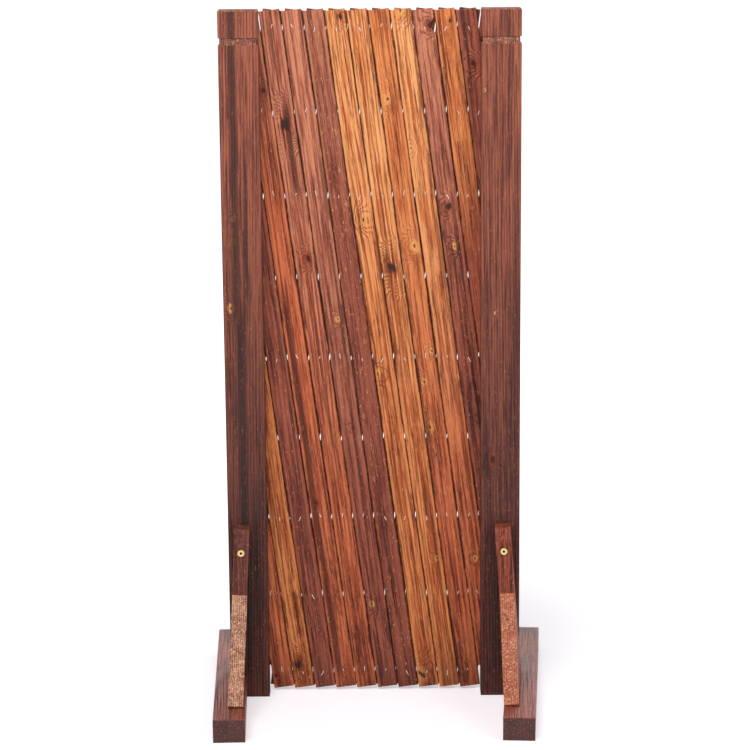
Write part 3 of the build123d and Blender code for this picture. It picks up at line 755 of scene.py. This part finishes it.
boardLooks = {
    "left_post": {"tone": "dusk", "lowTone": "soot", "turnsFrom": 560, "turnsTo": -420, "seed": 41,
                  "ringWidth": 4.6, "rings": 0.9, "pithAcross": 90, "pithDepth": 20, "wander": 3,
                  "wearAndHighlight": 0.2, "specksAndGlints": 0.25, "edge": 0.4, "bottomEndDark": 0.2,
                  "bands": [(-11, 9, 0.85, 700, 40), (-4, 11, 0.85, 120, -600), (16, 14, 0.5, -180, -600)],
                  "knots": [(251, -12, 4, "pale"), (98, -21, 6, "pale")]},
    "right_post": {"tone": "dusk", "lowTone": "soot", "turnsFrom": 600, "turnsTo": -560, "seed": 42,
                   "ringWidth": 4.6, "rings": 1.0, "pithAcross": -110, "pithDepth": 20, "wander": 2,
                   "wearAndHighlight": 0.2, "specksAndGlints": 0.25, "edge": 0.4, "bottomEndDark": 0.2,
                   "bands": [(26, 7, 0.5, 420, -200), (0, 30, 0.6, -260, -600)],
                   "knots": [(464, -29, 3, "pale"), (86, -10, 2, "pale"), (-172, -14, 7, "dark")]},
    "left_brace": {"tone": "plum", "seed": 43, "ringWidth": 3.0, "rings": 0.5, "edge": 0.0},
    "right_brace": {"tone": "russet", "seed": 44, "ringWidth": 3.0, "rings": 0.6, "edge": 0.0},
    "left_foot": {"tone": "umber", "seed": 45, "ringWidth": 4, "rings": 0.5, "gloss": 0.3, "shine": 0.5,
                 "wearAndHighlight": 0, "specksAndGlints": 0.2, "edge": 0.0},
    "right_foot": {"tone": "umber", "seed": 46, "ringWidth": 4, "rings": 0.5, "gloss": 0.3, "shine": 0.5,
                  "wearAndHighlight": 0, "specksAndGlints": 0.2, "edge": 0.0},
}
# Which faces show a saw cut: those in a post's groove, and a brace's slope below its top bevel.
sawnPlaces = {"grooveDrop": 52, "grooveReach": 6.1, "bevelHeight": 60}  # in mm, below the top
sawnLooks = {
    "left_post": {"pale": "a4634e", "deep": "552c23", "sparkle": "e8a67c"},
    "right_post": {"pale": "a4634e", "deep": "552c23", "sparkle": "e8a67c"},
    "left_brace": {"pale": "dba281", "deep": "80452f", "sparkle": "ffe0b8"},
    "right_brace": {"pale": "cc7c5a", "deep": "96452c", "sparkle": "f6c394"},
    "left_foot": {"pale": "5a3531", "deep": "3a211e", "sparkle": "8a5a50"},
    "right_foot": {"pale": "5a3531", "deep": "3a211e", "sparkle": "8a5a50"},
}


def makeBoards():
    for node, look in boardLooks.items():
        side, kind = node.split("_")
        place = boardPlace(node)
        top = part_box(node)[1].z
        groove = top - sawnPlaces["grooveDrop"] * mm
        reach = sawnPlaces["grooveReach"] * mm
        bevel = top - sawnPlaces["bevelHeight"] * mm
        isSawn = {
            "post": lambda normal, spot: normal.z > 0.5 or abs(spot.z - groove) < reach,
            "brace": lambda normal, spot: normal.z > 0.2 and spot.z < bevel,
            "foot": lambda normal, spot: abs(normal.y) > 0.8,
        }[kind]
        label = side + kind.capitalize()
        cut = sawnLooks[node]
        woods = [carbonisedFir(f"carbonisedFir_{label}", place, look),
                 sawnFir(f"sawnFir_{label}", place, cut["pale"], cut["deep"], cut["sparkle"], look["seed"])]
        dressedCopy(label, node, 1.0, woods, isSawn)
    print("posts, feet and braces made")


makeBoards()


# Bolts: brass-plated heads, each with a turned dish round a six-sided socket that is dark inside.
boltLooks = {"ease": 0.5, "socketReach": 2.6, "faceDepth": 1.2, "headDepth": 3}
socketShade = brightMetal("brassInSocketShade", "3a2a18", "1f150d", 800.0, 0.6, 0.8)


def makeBolts():
    for side in ("left", "right"):
        node = f"{side}_brace_bolt"
        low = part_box(node)[0]
        rim = [v.co for v in frame["nodes"][node].data.vertices if v.co.y < low.y + 2 * mm]
        centreX, centreZ = ((min(p[i] for p in rim) + max(p[i] for p in rim)) / 2 for i in (0, 2))

        def inSocket(normal, spot):
            off = math.hypot(spot.x - centreX, spot.z - centreZ)
            onFace = normal.y < -0.9 and spot.y < low.y + boltLooks["faceDepth"] * mm
            inHead = spot.y < low.y + boltLooks["headDepth"] * mm
            return off < boltLooks["socketReach"] * mm and inHead and not onFace

        dressedCopy(f"{side}BraceBolt", node, boltLooks["ease"], [brassPlatedSteel, socketShade],
                    inSocket)


makeBolts()
print("bolts made")

packerLook = {"tone": "umber", "seed": 50}
packerWood = carbonisedFir("carbonisedFir_packers", boardPlace("left_pivot_packer"), packerLook)
for name, node in frame["nodes"].items():
    finish = {"screw": zincPlatedSteel, "packer": packerWood}.get(name.split("_")[-1])
    if finish:
        node.data.materials.clear()
        node.data.materials.append(finish)
print("screws and packers finished")


# Rays that show a thing as it is seen: from the camera, in a reflection or through something clear.
def seenRay(tree):
    path = addNode(tree, "ShaderNodeLightPath").outputs
    seen = path["Is Camera Ray"]
    for kind in ("Is Glossy Ray", "Is Transmission Ray"):
        seen = addNode(tree, "ShaderNodeMath", {0: seen, 1: path[kind]}, operation="MAXIMUM").outputs[0]
    return seen


# A white floor and backdrop in one sheet, lit as paper is and lifted to white for the camera and
# for reflections: less near the fence, so that its shadow stays, and fully further away.
stageShape = {"halfWidth": 40.0, "front": -8.0, "back": 60.0, "paper": "e9e7ee",
              "nearLift": 0.42, "farLift": 0.85, "near": 0.35, "far": 1.3}


def makeStage():
    material, tree, shader = newMaterial("whitePaper")
    coords = addNode(tree, "ShaderNodeTexCoord")
    away = addNode(tree, "ShaderNodeVectorMath", {0: coords.outputs["Object"]},
                   operation="LENGTH").outputs["Value"]
    lift = addNode(tree, "ShaderNodeMapRange", {
        "Value": away, "From Min": stageShape["near"], "From Max": stageShape["far"],
        "To Min": stageShape["nearLift"], "To Max": stageShape["farLift"]},
        interpolation_type="SMOOTHSTEP").outputs[0]
    lift = addNode(tree, "ShaderNodeMath", {0: seenRay(tree), 1: lift}, operation="MULTIPLY").outputs[0]
    tree.links.new(lift, shader.inputs["Emission Strength"])
    shader.inputs["Base Color"].default_value = linear(stageShape["paper"])
    shader.inputs["Roughness"].default_value = 0.9
    shader.inputs["Specular IOR Level"].default_value = 0.0
    shader.inputs["Emission Color"].default_value = (1, 1, 1, 1)
    side, front, back = stageShape["halfWidth"], stageShape["front"], stageShape["back"]
    mesh = bpy.data.meshes.new("floor")
    corners = [(-side, front, 0), (side, front, 0), (side, back, 0), (-side, back, 0)]
    mesh.from_pydata(corners, [], [(0, 1, 2, 3)])
    mesh.materials.append(material)
    floor = bpy.data.objects.new("floor", mesh)
    bpy.context.scene.collection.objects.link(floor)


lampLooks = {
    "softboxAbove": {"place": (-0.5, -1.9, 2.7), "target": (0, 0, 1.15), "size": (1.6, 1.2), "power": 58},
    "softboxRight": {"place": (2.6, -2.6, 1.9), "target": (0, 0, 0.7), "size": (1.4, 1.6), "power": 26},
    "softboxBehind": {"place": (0.6, 3.2, 2.4), "target": (0, 0, 0.6), "size": (2.0, 2.0), "power": 30},
}
worldLooks = {"light": 0.34, "seen": 1.0}


def makeLights():
    for name, look in lampLooks.items():
        light = bpy.data.lights.new(name, "AREA")
        light.shape = "RECTANGLE"
        light.size, light.size_y = look["size"]
        light.energy = look["power"]
        lamp = bpy.data.objects.new(name, light)
        bpy.context.scene.collection.objects.link(lamp)
        aim = Vector(look["target"]) - Vector(look["place"])
        turn = aim.to_track_quat("-Z", "Y").to_matrix().to_4x4()
        lamp.matrix_world = Matrix.Translation(look["place"]) @ turn
    world = bpy.data.worlds.new("studio")
    bpy.context.scene.world = world
    world.use_nodes = True
    tree = world.node_tree
    tree.nodes.clear()
    strength = addNode(tree, "ShaderNodeMapRange", {
        "Value": seenRay(tree), "To Min": worldLooks["light"], "To Max": worldLooks["seen"]})
    sky = addNode(tree, "ShaderNodeBackground", {"Color": (1, 1, 1, 1), "Strength": strength.outputs[0]})
    addNode(tree, "ShaderNodeOutputWorld", {"Surface": sky.outputs[0]})


makeStage()
makeLights()
print("stage and lights made")

# The camera stands in front, a little above the fence, and looks down on it as in the photo.
cameraView = {"x": 12.4, "distance": 4297, "height": 1568, "pitch": 13.0, "yaw": -0.20, "roll": -0.47,
              "focalPixels": 2572, "imagePixels": 750, "sensor": 36}


def makeCamera():
    pitch, yaw, roll = (math.radians(cameraView[key]) for key in ("pitch", "yaw", "roll"))
    forward = Vector((math.sin(yaw) * math.cos(pitch), math.cos(yaw) * math.cos(pitch), -math.sin(pitch)))
    level = Vector((math.cos(yaw), -math.sin(yaw), 0))
    upright = level.cross(forward)
    right = level * math.cos(roll) + upright * math.sin(roll)
    up = upright * math.cos(roll) - level * math.sin(roll)
    data = bpy.data.cameras.new("camera")
    data.sensor_width = cameraView["sensor"]
    data.lens = cameraView["sensor"] * cameraView["focalPixels"] / cameraView["imagePixels"]
    camera = bpy.data.objects.new("camera", data)
    bpy.context.scene.collection.objects.link(camera)
    turn = Matrix((right, up, -forward)).transposed().to_4x4()
    spot = Vector((cameraView["x"], -cameraView["distance"], cameraView["height"])) * mm
    camera.matrix_world = Matrix.Translation(spot) @ turn
    bpy.context.scene.camera = camera


makeCamera()
bpy.context.scene.view_settings.view_transform = "Standard"
print("camera set")
